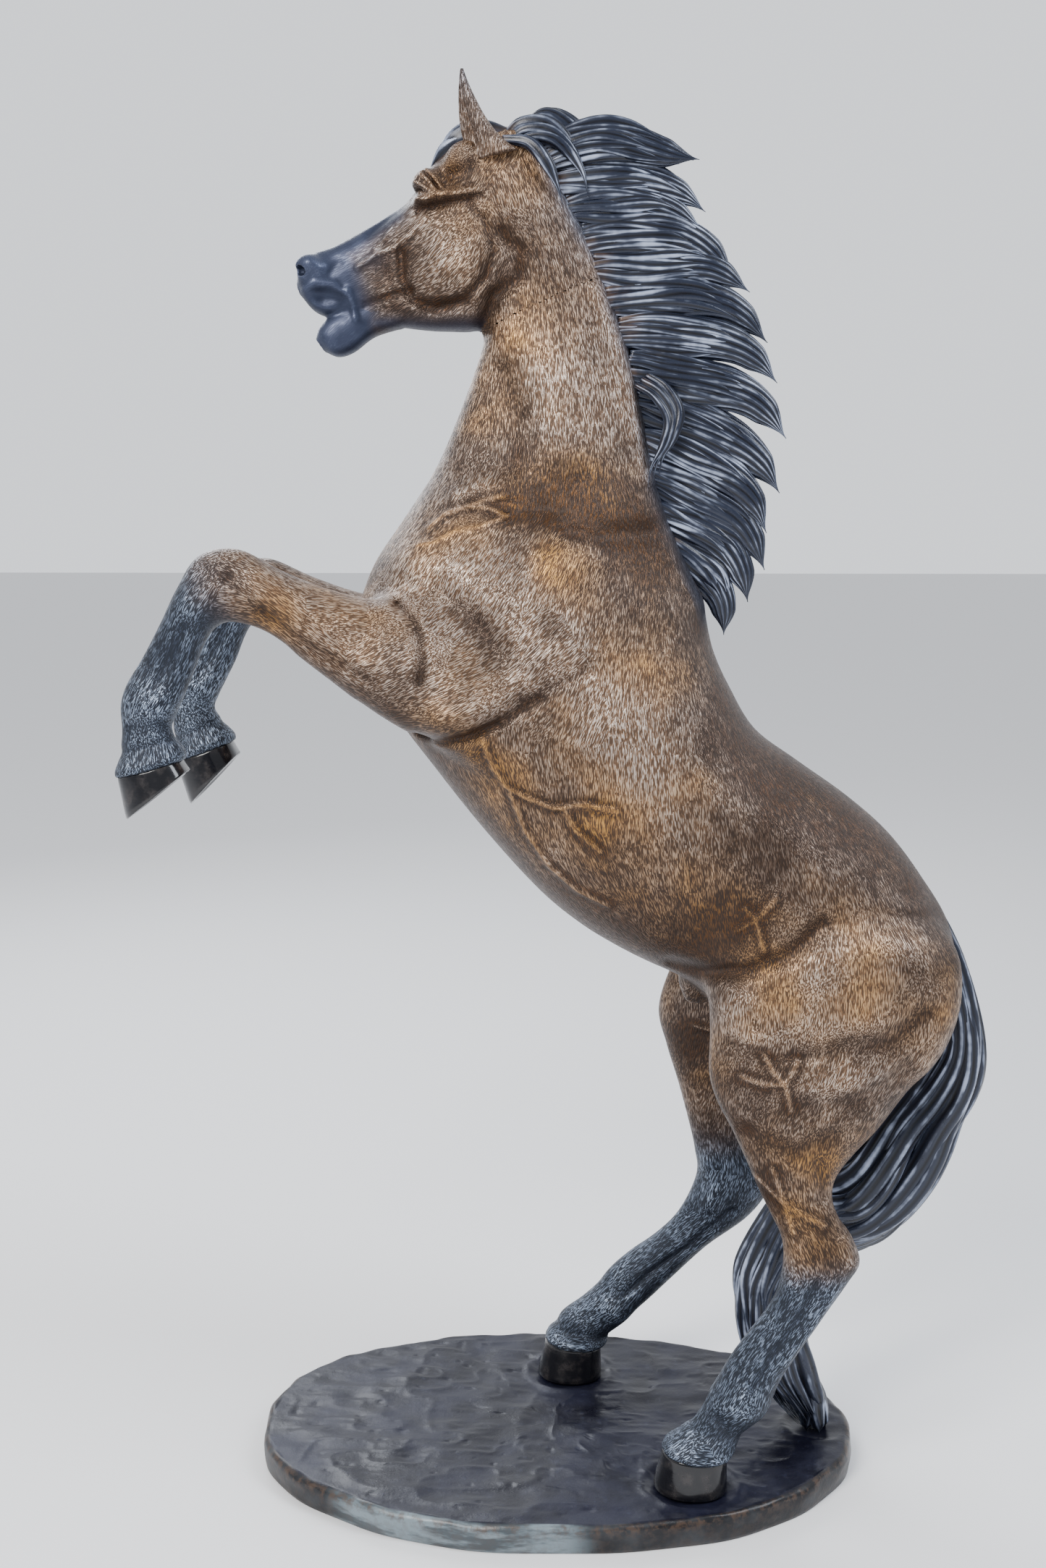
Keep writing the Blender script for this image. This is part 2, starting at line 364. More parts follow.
class Block:
    """Block of sample points with the sculpted field, the body that owns each point and its stations."""

    def __init__(self, low, high, step):
        self.low, self.step = np.array(low, float), step
        self.axes = [np.arange(a, b + step, step) for a, b in zip(low, high)]
        self.field = np.full([len(a) for a in self.axes], 300.0, np.float32)
        self.owner = np.zeros(self.field.shape, np.int8)
        self.stations = {}

    def window(self, low, high):
        """Slices of the block between two corners."""
        return tuple(slice(*np.searchsorted(a, (lo, hi))) for a, lo, hi in zip(self.axes, low, high))

    def add(self, number, rows, blend, power=2.0):
        """Joins a body to the field with a soft fillet of about the blend radius."""
        table = np.array(rows, float)
        xs, zs = table[:, [0, 2]], table[:, [1, 3]]
        low = (xs.min(), (table[:, 4] - table[:, 5]).min(), zs.min())
        high = (xs.max(), (table[:, 4] + table[:, 5]).max(), zs.max())
        view = self.window([v - MARGIN for v in low], [v + MARGIN for v in high])
        x, y, z = (a[s] for a, s in zip(self.axes, view))
        if 0 in (len(x), len(y), len(z)):
            return
        station, off, past, deep, wide, middle = section_map(rows, x[:, None], z[None, :])
        plane = np.zeros((len(self.axes[0]), len(self.axes[2])), np.float32)
        plane[view[0], view[2]] = station
        self.stations[number] = plane
        off, past, deep, wide, middle = (v[:, None, :] for v in (off, past, deep, wide, middle))
        side = np.abs(y[None, :, None].astype(np.float32) - middle)
        off = np.abs(off)
        reach = ((off / deep) ** power + (side / wide) ** power) ** (1 / power)
        slope = np.sqrt((off / deep ** 2) ** 2 + (side / wide ** 2) ** 2)
        shape = (reach - 1) * (reach + 1e-3) / (slope + 1e-3 / np.minimum(deep, wide))
        shape = np.where(past > 0, np.hypot(np.maximum(shape, 0), past), shape)
        self.merge(view, shape, number, blend)

    def merge(self, view, shape, number, blend):
        """Soft union of a shape with part of the field."""
        held = self.field[view]
        nearer = shape < held
        share = np.clip(0.5 + 0.5 * (held - shape) / blend, 0, 1)
        self.field[view] = held * (1 - share) + shape * share - blend * share * (1 - share)
        self.owner[view][nearer] = number

    def ball(self, centre, radii, number, blend, carve=False):
        """Adds or carves an ellipsoid."""
        around = [(c - r - BALL_MARGIN, c + r + BALL_MARGIN) for c, r in zip(centre, radii)]
        view = self.window(*zip(*around))
        x, y, z = (a[s] for a, s in zip(self.axes, view))
        reach = np.sqrt(((x - centre[0]) / radii[0])[:, None, None] ** 2
                        + ((y - centre[1]) / radii[1])[None, :, None] ** 2
                        + ((z - centre[2]) / radii[2])[None, None, :] ** 2)
        shape = (reach - 1) * min(radii)
        if carve:
            held = self.field[view]
            share = np.clip(0.5 + 0.5 * (-shape - held) / blend, 0, 1)
            self.field[view] = held * (1 - share) - shape * share + blend * share * (1 - share)
        elif 0 not in shape.shape:
            self.merge(view, shape, number, blend)

    def relief(self, lines, side):
        """Raises and sinks lines drawn on one side of the horse, 0 for both, and returns their height map."""
        x, z = self.axes[0][:, None], self.axes[2][None, :]
        height = np.zeros((x.size, z.size), np.float32)
        for points, radius, tall in lines:
            height += tall * np.exp(-(line_distance(x, z, points) / radius) ** 2)
        y = self.axes[1]
        weight = np.ones(len(y)) if side == 0 else np.clip(0.5 + side * y / 60, 0, 1)
        weight = weight * np.clip(np.abs(y) / 40, 0, 1)
        self.field -= (height[:, None, :] * weight[None, :, None]).astype(np.float32)
        return height


def line_distance(x, z, points):
    """Distance in the xz plane to a bent line."""
    nearest = np.full(np.broadcast(x, z).shape, np.inf)
    for (ax, az), (bx, bz) in zip(points[:-1], points[1:]):
        run, rise = bx - ax, bz - az
        t = np.clip(((x - ax) * run + (z - az) * rise) / (run * run + rise * rise), 0, 1)
        nearest = np.minimum(nearest, np.hypot(x - ax - t * run, z - az - t * rise))
    return nearest


# Bodies in the order they are joined: rows, fillet, squareness, and the node up to each station.
BODIES = [
    (TRUNK, 1, 2.1, ((HEAD_SEAM, "head_casting"), (7, "neck_casting"), (12, "shoulder_casting"),
                     (15, "barrel_casting"), (99, "hindquarter_casting"))),
    (LEFT_FORELEG, 34, 2.1, ((3, "shoulder_casting"), (8, "left_forearm"), (99, "left_fore_cannon"))),
    (RIGHT_FORELEG, 34, 2.1, ((3, "shoulder_casting"), (8, "right_forearm"), (99, "right_fore_cannon"))),
    (LEFT_HINDLEG, 40, 2.1, ((7, "hindquarter_casting"), (13, "left_gaskin"), (99, "left_hind_cannon"))),
    (RIGHT_HINDLEG, 40, 2.1, ((6, "hindquarter_casting"), (11, "right_gaskin"), (99, "right_hind_cannon"))),
    (SHEATH, 14, 2.0, ((99, "hindquarter_casting"),)),
    (HEAD, 22, 2.5, ((99, "head_casting"),)),
    (LOWER_LIP, 8, 2.3, ((99, "head_casting"),)),
]
# Their numbers from the sheath on; the trunk and the legs come before it.
SHEATH_NUMBER, HEAD_NUMBER, LIP_NUMBER = 5, 6, 7


def sculpt(low, high, step):
    """The whole horse on one block of points."""
    block = Block(low, high, step)
    for number, (rows, blend, power, _) in enumerate(BODIES):
        block.add(number, rows, blend, power)
    for side in (-1, 1):
        for (x, y, z), radii, blend, carve in HEAD_BALLS:
            block.ball((x, side * y, z), radii, HEAD_NUMBER, blend, carve)
    for side in (-1, 1):
        veins = [(points, VEIN_RADIUS, VEIN_HIGH) for points, where in VEINS if where in (0, side)]
        block.relief(veins, side)
    height = block.relief(BOTH_SIDES, 0) + block.relief(FACE, 0)
    left, right = block.relief(LEFT_SIDE, -1), block.relief(RIGHT_SIDE, 1)
    for side in (-1, 1):
        block.ball((EYE[0], side * EYE[1], EYE[2]), EYE_RADII, HEAD_NUMBER, 1.5)
    block.heights = (height + left, height + right)
    return block


# ---- meshing ------------------------------------------------------------------------------------
def surface_net(field):
    """Vertices, in grid units, and outward quads of the zero surface of a block."""
    inside = field < 0
    corners = [np.array((i, j, k)) for i in (0, 1) for j in (0, 1) for k in (0, 1)]
    size = np.array(field.shape) - 1
    count = sum(inside[tuple(slice(c[d], c[d] + size[d]) for d in range(3))].astype(np.int8) for c in corners)
    active = (count > 0) & (count < 8)
    cells = np.argwhere(active)
    index = np.full(active.shape, -1, np.int32)
    index[active] = np.arange(len(cells))
    total, hits = np.zeros((len(cells), 3)), np.zeros(len(cells))
    for start in corners:
        for axis in np.nonzero(start == 0)[0]:
            end = start.copy()
            end[axis] = 1
            f0, f1 = field[tuple((cells + start).T)], field[tuple((cells + end).T)]
            cross = (f0 < 0) != (f1 < 0)
            where = np.repeat(start[None, :].astype(float), cross.sum(), 0)
            where[:, axis] = (f0 / (f0 - f1 + 1e-12))[cross]
            total[cross] += where
            hits[cross] += 1
    verts = cells + total / np.maximum(hits, 1)[:, None]
    quads = []
    for axis in range(3):
        first = [slice(1, -1)] * 3
        second = [slice(1, -1)] * 3
        first[axis], second[axis] = slice(0, -1), slice(1, None)
        a, b = inside[tuple(first)], inside[tuple(second)]
        offset = np.array([0 if d == axis else 1 for d in range(3)])
        u, v = np.eye(3, dtype=int)[(axis + 1) % 3], np.eye(3, dtype=int)[(axis + 2) % 3]
        for change, order in ((a & ~b, 1), (b & ~a, -1)):
            at = np.argwhere(change) + offset
            quad = np.stack([index[tuple((at - s).T)] for s in (0 * u, u, u + v, v)], 1)
            quads.append(quad[:, ::order])
    return verts, np.vstack(quads)


def relax(verts, quads, rounds):
    """Smooths a mesh without shrinking it."""
    ends = np.vstack([np.c_[quads[:, i], quads[:, (i + 1) % 4]] for i in range(4)])
    ends = np.vstack([ends, ends[:, ::-1]])
    share = np.bincount(ends[:, 0], minlength=len(verts))[:, None]
    for _ in range(rounds):
        for step in (0.5, -0.52):
            near = np.stack([np.bincount(ends[:, 0], verts[ends[:, 1], d], len(verts)) for d in range(3)], 1)
            verts = verts + step * (near / share - verts)
    return verts, near / share - verts


def normals_of(verts, quads):
    """Smooth outward normals."""
    across = np.cross(verts[quads[:, 2]] - verts[quads[:, 0]], verts[quads[:, 3]] - verts[quads[:, 1]])
    sums = [np.bincount(quads.ravel(), np.repeat(across[:, d], 4), len(verts)) for d in range(3)]
    return unit(np.stack(sums, 1))


def make_object(name, verts, faces, normals=None, points=(), corners=()):
    """Mesh object from millimetres, smooth shaded, with point colours and corner vectors by name."""
    mesh = bpy.data.meshes.new(name)
    faces = np.asarray(faces)
    mesh.vertices.add(len(verts))
    mesh.vertices.foreach_set("co", (np.asarray(verts, float) / 1000).ravel())
    mesh.loops.add(faces.size)
    mesh.loops.foreach_set("vertex_index", faces.ravel().astype(np.int32))
    mesh.polygons.add(len(faces))
    mesh.polygons.foreach_set("loop_start", np.arange(len(faces), dtype=np.int32) * faces.shape[1])
    mesh.update(calc_edges=True)
    mesh.polygons.foreach_set("use_smooth", np.ones(len(faces), bool))
    if normals is not None:
        mesh.normals_split_custom_set_from_vertices(np.asarray(normals, float))
    for label, values in dict(points).items():
        layer = mesh.attributes.new(label, "FLOAT_COLOR", "POINT")
        full = values if values.shape[1] == 4 else np.c_[values, np.ones(len(values))]
        layer.data.foreach_set("color", full.astype(np.float32).ravel())
    for label, values in dict(corners).items():
        layer = mesh.attributes.new(label, "FLOAT_VECTOR", "CORNER")
        layer.data.foreach_set("vector", np.asarray(values, np.float32).ravel())
    piece = bpy.data.objects.new(name, mesh)
    bpy.context.scene.collection.objects.link(piece)
    return piece


def ease(low, high, value):
    """0 below low, 1 above high and smooth between."""
    t = np.clip((value - low) / (high - low), 0, 1)
    return t * t * (3 - 2 * t)


def unit(vectors):
    """Vectors scaled to length one."""
    return vectors / np.maximum(np.linalg.norm(vectors, axis=-1, keepdims=True), 1e-9)


def painted(x, z, lines):
    """Sum of soft lines painted in the xz plane."""
    total = np.zeros(len(x))
    for points, radius, amount in lines:
        total += amount * np.exp(-(line_distance(x, z, points) / radius) ** 2)
    return total


LIGHT, GOLD = 0.5, 0.42                         # of the plain coat
TONE_SHARE = 0.26                               # strength of the places in TONES
VEIN_WIDE, HALO_AWAY, HALO_WIDE = 2.9, 10, 5    # the bright line of a vein and the dark lines beside it


def body_tones(points, normals, owner, station, height, curve):
    """Light, gold, black and amount of chasing of the patina at each vertex."""
    x, y, z = points.T
    light, gold = np.full(len(x), LIGHT), np.full(len(x), GOLD)
    for tx, tz, radius, brighter, golder in TONES:
        near = np.exp(-((x - tx) ** 2 + (z - tz) ** 2) / radius ** 2)
        light += TONE_SHARE * brighter * near
        gold += TONE_SHARE * golder * near
    light += painted(x, z, DIM_LINES) * (owner < SHEATH_NUMBER)
    light += 0.022 * np.clip(height, -14, 9) + 0.5 * np.clip(curve, -0.5, 0.5)
    light += 0.08 * ease(0.2, 0.9, normals[:, 2]) - 0.22 * ease(0.1, 0.9, -normals[:, 2])
    vein, halo = np.zeros(len(x)), np.zeros(len(x))
    for line, side in VEINS:
        away = line_distance(x, z, line) + 99 * ((y * side < 0) | (owner > SHEATH_NUMBER))
        vein = np.maximum(vein, np.exp(-(away / VEIN_WIDE) ** 2))
        halo = np.maximum(halo, np.exp(-((away - HALO_AWAY) / HALO_WIDE) ** 2))
    light += 0.15 * vein - 0.18 * halo * (1 - vein)
    gold += 0.15 * vein
    black = np.zeros(len(x))
    for number, (start, end) in BLACK_LEGS.items():
        black = np.where(owner == number, ease(start, end, station), black)
    face = (owner == HEAD_NUMBER) | (owner == LIP_NUMBER)
    muzzle = np.where(owner == LIP_NUMBER, ease(270, 320, -x), ease(290, 350, -x - 0.25 * (z - 2100))) * face
    smooth = np.maximum(muzzle, np.clip(painted(x, z, DARK_FACE), 0, 1) * face)
    crest = painted(x, z, DARK_NECK) * (np.abs(y) < 75) * (owner == 0)
    black = np.clip(np.maximum(black, smooth) + crest, 0, 1)
    chased = 1 - np.clip(0.9 * smooth + 0.3 * vein + 0.5 * crest, 0, 0.95)
    return np.clip(np.stack([light, gold, black, chased], 1), 0, 1)


def hair_flow(verts, quads, headings, seed):
    """Corner vectors that run along the lie of the hair, one straight run for each patch of coat."""
    rng = np.random.default_rng(seed)
    centres = verts[quads].mean(1)
    area = 0.5 * np.linalg.norm(np.cross(verts[quads[:, 2]] - verts[quads[:, 0]],
                                         verts[quads[:, 3]] - verts[quads[:, 1]]), axis=1)
    count = max(4, int(area.sum() / PATCH ** 2))
    chosen = rng.choice(len(centres), count, replace=False)
    tree = kdtree.KDTree(count)
    for number, spot in enumerate(centres[chosen]):
        tree.insert(spot, number)
    tree.balance()
    patch = np.array([tree.find(spot)[1] for spot in centres])
    along = headings[chosen]
    third = unit(np.cross(along, rng.normal(size=(count, 3))))
    across = np.cross(along, third)
    shift = rng.uniform(-500, 500, (count, 3))
    local = verts[quads] - centres[chosen][patch][:, None, :]
    parts = [(local * axis[patch][:, None, :]).sum(2) / scale
             for axis, scale in ((along, HAIR_LONG), (across, HAIR_WIDE), (third, HAIR_WIDE))]
    return (np.stack(parts, 2) + shift[patch][:, None, :]).reshape(-1, 3)


def lie_of_hair(centres, normals, owner, station):
    """Direction the coat lies in at each face."""
    x, _, z = centres.T
    total = np.zeros((len(x), 3))
    for gx, gz, dx, dz in LIE:
        weight = 1 / ((x - gx) ** 2 + (z - gz) ** 2 + 900) ** 1.5
        total += weight[:, None] * unit(np.array((dx, 0.0, dz)))
    flow = unit(total)
    for number, (rows, *_) in enumerate(BODIES[1:], 1):
        at, fine = smooth_rows(rows)
        heading = np.gradient(arms(fine)[0], axis=0)
        along = unit(np.stack([np.interp(station, at, heading[:, 0]), np.zeros(len(x)),
                               np.interp(station, at, heading[:, 1])], 1))
        share = ease(1.5, 4.5, station)[:, None] if number < SHEATH_NUMBER else 0.75
        flow = np.where((owner == number)[:, None], unit(flow * (1 - share) + along * share), flow)
    flow -= normals * (flow * normals).sum(1, keepdims=True)
    return unit(flow + 1e-6)


def carve_pieces(block, keep):
    """Meshes a block and returns its faces by node as (verts, quads, normals, tones, flow)."""
    verts, quads = surface_net(block.field)
    verts, bend = relax(verts, quads, 2)
    normals = normals_of(verts, quads)
    points = block.low + verts * block.step
    curve = -(bend * normals).sum(1) * BODY_STEP / block.step

    def sample(where):
        """Nearest sample point, with its body and station."""
        spot = np.clip(np.rint(where).astype(int), 0, np.array(block.field.shape) - 1)
        owner = block.owner[tuple(spot.T)]
        station = np.zeros(len(spot))
        for number, plane in block.stations.items():
            station = np.where(owner == number, plane[spot[:, 0], spot[:, 2]], station)
        return spot, owner, station

    spot, owner, station = sample(verts)
    height = np.where(points[:, 1] < 0, *(h[spot[:, 0], spot[:, 2]] for h in block.heights))
    tones = body_tones(points, normals, owner, station, height, curve)
    _, owner, station = sample(verts[quads].mean(1))
    centres, facing = points[quads].mean(1), unit(normals[quads].mean(1))
    names = np.array([None] * len(quads), object)
    for number, (*_, limits) in enumerate(BODIES):
        low = -1.0
        for high, name in limits:
            names[(owner == number) & (station >= low) & (station < high)] = name
            low = high
    chosen = keep(names, owner, station)
    quads, names = quads[chosen], names[chosen]
    flow = hair_flow(points, quads, lie_of_hair(centres, facing, owner, station)[chosen], SEED)
    flow = flow.reshape(len(quads), 4, 3)
    pieces = {}
    for name in sorted(set(names)):
        mine = names == name
        used, back = np.unique(quads[mine], return_inverse=True)
        own_flow = flow[mine].reshape(-1, 3)
        pieces[name] = (points[used], back.reshape(-1, 4), normals[used], tones[used], own_flow)
    return pieces


# ---- swept hair ---------------------------------------------------------------------------------
def ring_mesh(rings):
    """Quads round stacked rings of points, with both ends closed."""
    rings = np.array(rings)
    count, around = rings.shape[:2]
    i, j = np.meshgrid(np.arange(count - 1), np.arange(around), indexing="ij")
    low, high, n = i * around, (i + 1) * around, (j + 1) % around
    quads = [np.stack([low + j, low + n, high + n, high + j], 2).reshape(-1, 4)]
    for start, order in ((0, 1), ((count - 1) * around, -1)):
        end = start + around - 1
        fan = [(start + k, end - k, end - k - 1, start + k + 1)[::order] for k in range(around // 2 - 1)]
        quads.append(np.array(fan))
    return rings.reshape(-1, 3), np.vstack(quads)


def join(parts):
    """One mesh from several, each given as verts, quads and any values at the verts."""
    verts, quads, *values = zip(*parts)
    starts = np.cumsum([0] + [len(v) for v in verts])
    quads = [q + start for q, start in zip(quads, starts)]
    return [np.concatenate(column) for column in (verts, quads, *values)]


def curve_through(points, count):
    """Evenly spaced points of a smooth curve through the given ones."""
    _, fine = smooth_rows(points, 12)
    length = np.r_[0, np.cumsum(np.linalg.norm(np.diff(fine, axis=0), axis=1))]
    at = np.linspace(0, length[-1], count)
    return np.stack([np.interp(at, length, fine[:, d]) for d in range(fine.shape[1])], 1)


def strand(line, radius, rng, ring=22, flat=1.0, grooves=4, twist=1.2, taper=0.55):
    """Grooved lock along a line, pointed at its tip: verts, quads and, at the verts, way along and ridge."""
    t = np.linspace(0, 1, len(line))
    belly = 0.72 + 0.5 * np.sin(pi * np.minimum(t * 1.15, 1)) ** 1.2
    swell = radius * belly * (1 - ease(taper, 1.0, t) * 0.97)
    heading = unit(np.gradient(line, axis=0))
    side = unit(np.array((0, 1, 0)) - heading * heading[:, 1:2])
    up = np.cross(side, heading)
    theta = np.linspace(0, 2 * pi, ring, endpoint=False)
    across, along = theta[None, :], t[:, None]
    turn = rng.uniform(0, pi) + rng.uniform(-twist, twist) * along
    turn = turn + 0.25 * np.sin(5 * along + rng.uniform(0, 6))
    turn = turn + 0.35 / grooves * np.sin(3 * across + 7 * along + rng.uniform(0, 6))
    ridge = np.abs(np.sin(grooves * (across + turn) / 2)) ** 0.6
    reach = swell[:, None] * (1 + 0.26 * min(1, 5 / grooves) * (ridge - 0.75))
    rings = (line[:, None, :] + (reach * np.cos(theta))[:, :, None] * side[:, None, :] * flat
             + (reach * np.sin(theta))[:, :, None] * up[:, None, :])
    verts, quads = ring_mesh(rings)
    return verts, quads, np.repeat(t, ring), ridge.ravel()


def hair_object(name, parts):
    """Joins strands into one object, with the ridge heights and the way along for the shader."""
    verts, quads, along, ridge = join(parts)
    tones = np.stack([ridge, along, np.zeros(len(ridge))], 1)
    return make_object(name, verts, quads, points={"strand": tones})


def arch(root, bend, tip, t):
    """Point at a share t of the curve from root to tip that bend pulls aside."""
    return (1 - t) ** 2 * root + 2 * t * (1 - t) * bend + t * t * tip


def mane_locks(locks, rng):
    """Broad grooved leaves of hair, each with finer strands over both faces that run together at its tip."""
    parts = []
    for root, bend, tip, half in locks:
        root, bend, tip = (np.array((p[0], 0.0, p[1])) for p in (root, bend, tip))
        lean = unit((tip - root)[None, :])[0]
        cross = np.array((-lean[2], 0, lean[0]))
        swing, sway = rng.uniform(-4, 4), rng.uniform(-10, 10)
        hook = (0.30 if tip[2] > FLICK_ABOVE else -0.32) * half

        def path(u, depth, spread_share, reach, ripple=0.0, phase=0.0):
            """Points from the root toward the tip, at a share u of the half depth."""
            points = []
            for t in np.linspace(0, reach, 10):
                base = arch(root, bend, tip, t)
                spread = half * spread_share * (0.95 + 0.30 * t - 1.2 * t ** 4)
                wave = (swing + hook) * sin(2 * pi * t) * (0.2 + 0.8 * t) + ripple * sin(9 * t + phase)
                base = base + cross * (u * spread + wave)
                base[1] = depth * (1 - 0.55 * t ** 2) + sway * t
                points.append(base)
            return points

        for depth, reach in ((-13, 1.0), (12, 0.97)):
            leaf = curve_through(path(0.0, depth, 1.0, reach), 64)
            parts.append(strand(leaf, half * 0.70, rng, 84, flat=0.42, grooves=15, twist=0.25, taper=0.80))
        for depth in (-27, 25):
            for k in range(8):
                u = (k - 3.5) / 3.6 + rng.uniform(-0.1, 0.1)
                lift = depth * (1 - 0.25 * u * u) * rng.uniform(0.92, 1.06)
                line = curve_through(path(u, lift, 0.66, rng.uniform(0.76, 0.90), 3.0, rng.uniform(0, 6)), 40)
                parts.append(strand(line, rng.uniform(6.0, 9.5), rng, 28, flat=0.6, taper=0.66))
    return parts


def side_locks(groups, rng):
    """Locks that lie on the near and far sides of the neck."""
    parts = []
    for side in (-1, 1):
        for points, (dx, dz, dy), radii, flat, count in groups:
            for k, radius in enumerate(radii):
                line = [(x + k * dx, side * (y + k * dy), z + k * dz) for x, z, y in points]
                parts.append(strand(curve_through(line, count), radius, rng, 30, flat, grooves=5))
    return parts


def tail_locks(rng):
    """Long strands along the tail, round it and through its middle, and the middle line of the tail."""
    at, fine = smooth_rows(TAIL, TAIL_DETAIL)
    middle, half = arms(fine)
    centre, arm = np.insert(middle, 1, fine[:, 4], axis=1), np.insert(half, 1, 0, axis=1)
    wide = fine[:, 5]
    parts = []
    for number in range(58):
        angle = 2.4 * number + rng.uniform(-0.2, 0.2)
        depth = (0.84, 0.80, 0.5)[number % 3] + rng.uniform(-0.05, 0.05)
        start = 0 if number < 20 else int(rng.integers(8, 50 if number < 46 else 76))
        stop = len(at) - (0 if number % 3 == 0 or number >= 46 else int(rng.integers(0, 34)))
        if stop - start < 30:
            start = max(0, stop - 45)
        t = np.arange(start, stop)
        swing = angle + 0.010 * (t - start) * rng.uniform(-1, 1) + 0.12 * np.sin(t * 0.16 + number)
        place = depth * (1 - 0.15 * np.sin(t * 0.11 + number) ** 2)
        line = (centre[t] + arm[t] * (place * np.cos(swing))[:, None]
                + np.outer(wide[t] * place * np.sin(swing), (0, 1, 0)))
        line = curve_through(line[::4], 110)
        parts.append(strand(line, rng.uniform(13, 19), rng, ring=30, flat=0.9, grooves=6, taper=0.74))
    for turn in range(5):
        foot = [(458, -5, 150), (464, -5, 112), (470, -5, 82), (476, -5, 46)]
        out = np.array((cos(1.26 * turn), sin(1.26 * turn), 0))
        line = [np.array(p, float) + out * spread for p, spread in zip(foot, (6, 10, 14, 20))]
        parts.append(strand(curve_through(line, 40), 16, rng, ring=30, flat=0.9, grooves=5, taper=0.85))
    return parts, centre


# ---- ears, hooves and base ----------------------------------------------------------------------
def section_point(row, a, b):
    """Point of a section at fractions a of its half depth and b of its half width."""
    x = (row[0] + row[2]) / 2 + a * (row[0] - row[2]) / 2
    z = (row[1] + row[3]) / 2 + a * (row[1] - row[3]) / 2
    return (x, row[4] + b * row[5], z)


# Profile of a hoof from the hair line to the hollow of the sole: way down, scale of the section.
HOOF_PROFILE = [
    (0.0, 0.93), (0.015, 0.955), (0.08, 0.965), (0.3, 0.97), (0.6, 0.98), (0.85, 0.99), (0.96, 0.99),
    (1.0, 0.965), (1.0, 0.90), (0.985, 0.84), (0.95, 0.80), (0.93, 0.55), (0.93, 0.25),
]


def hoof_mesh(rows):
    """Hoof wall flaring from the hair line to the ground edge, a heel cleft, and a hollow sole."""
    top, bottom = (np.array(row, float) for row in rows)
    theta = np.linspace(0, 2 * pi, 72, endpoint=False)
    rings = []
    for down, scale in HOOF_PROFILE:
        row = top * (1 - down) + bottom * down
        points = []
        for angle in theta:
            heel = np.exp(-((abs(angle - pi)) / 0.5) ** 2)
            reach = scale * (1 + 0.035 * sin(2 * angle) ** 2)
            points.append(section_point(row, cos(angle) * reach + 0.07 * heel * scale, sin(angle) * reach))
        rings.append(points)
    verts, quads = ring_mesh(rings)
    return verts, quads[:, ::-1]


def ear_mesh(side):
    """Pointed ear, open and hollow toward the front and outside, with a rolled edge."""
    _, rows = smooth_rows(EARS, 8)
    theta = np.linspace(0, 2 * pi, 40, endpoint=False)
    rings = []
    for number, row in enumerate(rows):
        t = number / (len(rows) - 1)
        hollow = 0.75 * ease(0.02, 0.3, t) * (1 - ease(0.8, 1.0, t))
        points = []
        for angle in theta:
            mouth = np.exp(-((((angle - 0.75 + pi) % (2 * pi)) - pi) / 0.62) ** 2)
            shrink = 1 - hollow * mouth
            x, y, z = section_point(row, cos(angle) * shrink, sin(angle) * shrink)
            points.append((x - 4 * sin(pi * t), side * y, z))
        rings.append(points)
    verts, quads = ring_mesh(rings)
    return verts, quads if side > 0 else quads[:, ::-1]


def lattice_noise(x, y, size, seed):
    """Smooth noise between -1 and 1 with features of the given size."""
    grid = np.random.default_rng(seed).uniform(-1, 1, (128, 128))
    u, v = x / size + 64.3, y / size + 64.7
    i, j = np.floor(u).astype(int), np.floor(v).astype(int)
    s, t = u - i, v - j
    s, t = s * s * (3 - 2 * s), t * t * (3 - 2 * t)
    i, j = i % 127, j % 127
    return ((grid[i, j] * (1 - s) + grid[i + 1, j] * s) * (1 - t)
            + (grid[i, j + 1] * (1 - s) + grid[i + 1, j + 1] * s) * t)


BASE_LONG, BASE_WIDE, BASE_HIGH = 542.0, 340.0, 50.0
FEET = ((238, -200, 66), (28, 180, 64), (476, -5, 44))


def base_outline(theta, inset):
    """Slightly uneven oval."""
    wobble = 3.2 * np.sin(3 * theta + 0.6) + 2.2 * np.sin(7 * theta + 2.0) + 1.2 * np.sin(17 * theta)
    power = 2 / 2.15
    c, s = np.cos(theta), np.sin(theta)
    x = (BASE_LONG - 4 - inset + wobble) * np.sign(c) * np.abs(c) ** power
    y = (BASE_WIDE - 4 - inset + wobble) * np.sign(s) * np.abs(s) ** power
    return x, y


def ground_height(x, y):
    """Modelled earth: broad swells, tool marks, pits and a ruck round each foot."""
    z = 2.6 * lattice_noise(x, y, 120, 1) + 2.0 * lattice_noise(x, y * 1.5, 46, 2)
    bent = x + 26 * lattice_noise(x, y, 90, 3)
    z += 1.5 * (1 - np.abs(lattice_noise(bent, y * 1.5, 56, 4))) ** 4 - 0.6
    z += 0.4 * lattice_noise(x * 0.6, y * 1.8, 17, 5)
    pit = lattice_noise(x, y, 17, 6)
    z -= 1.3 * ease(0.62, 0.9, pit)
    for fx, fy, radius in FEET:
        away = np.hypot((x - fx) * 0.9, y - fy)
        z += 4.5 * np.exp(-((away - radius - 9) / 9) ** 2) * (0.6 + 0.4 * lattice_noise(x, y, 22, 7))
        z -= 2.0 * np.exp(-(away / (radius + 2)) ** 8)
    return z


# Edge of the base from its top down: inset, height against the top, wear.
BASE_EDGE = [
    (8, -2.2, 0.5), (4, -5, 1.0), (1.5, -9, 1.0), (0.5, -14, 0.5), (0, -22, 0.3), (0, -32, 0.25),
    (1, -42, 0.3), (2.5, -48, 0.4), (4, -50, 0.3),
]


